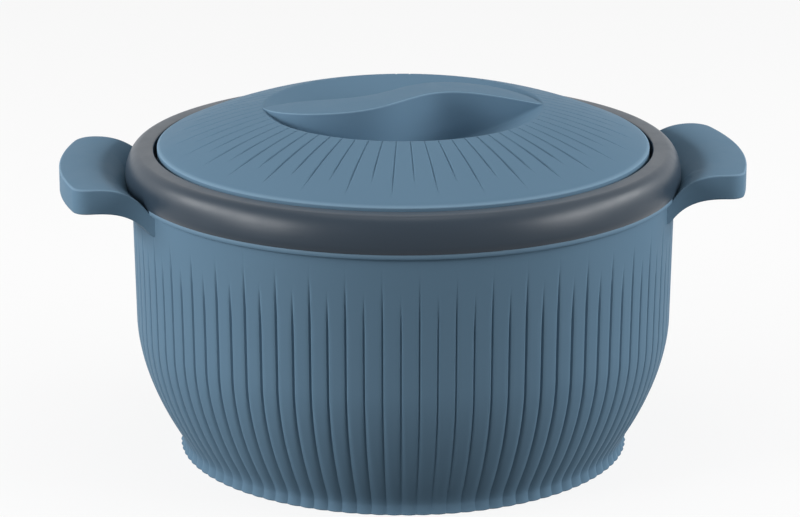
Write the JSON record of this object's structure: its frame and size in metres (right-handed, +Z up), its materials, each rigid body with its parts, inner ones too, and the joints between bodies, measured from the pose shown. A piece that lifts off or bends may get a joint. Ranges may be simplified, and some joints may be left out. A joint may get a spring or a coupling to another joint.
{
  "type": "insulated casserole with lift-off lid",
  "caption": "Round insulated food casserole: fluted double wall, steel bowl, grey rim collar, side handles and a domed lift-off lid with an S-shaped grip bar.",
  "frame": {"origin": "centre of the foot on the table", "axes": "+Z up along the bowl's axis, X along the two handles, the pictured front faces -Y"},
  "size_m": [0.311, 0.251, 0.1633],
  "materials": {
    "shell_plastic": "satin injection-moulded polypropylene",
    "lid_plastic": "satin injection-moulded polypropylene",
    "collar_plastic": "satin injection-moulded polypropylene",
    "liner_plastic": "white food-grade plastic",
    "bowl_steel": "spun stainless steel, satin",
    "foam": "rigid insulation foam"
  },
  "bodies": {
    "casserole": {"outer_shell": "shell_plastic", "fill_plug": "shell_plastic", "body_foam": "foam", "inner_bowl": "bowl_steel", "rim_collar": "collar_plastic", "handle_left": "shell_plastic", "handle_right": "shell_plastic"},
    "lid": {"lid_cover": "lid_plastic", "lid_foam": "foam", "lid_liner": "liner_plastic", "lid_fill_plug": "liner_plastic"}
  },
  "joints": [
    {"name": "lid_lift", "type": "slide", "parent": "casserole", "child": "lid", "axis": [0, 0, 1], "range_m": [0, 0.15]}
  ]
}
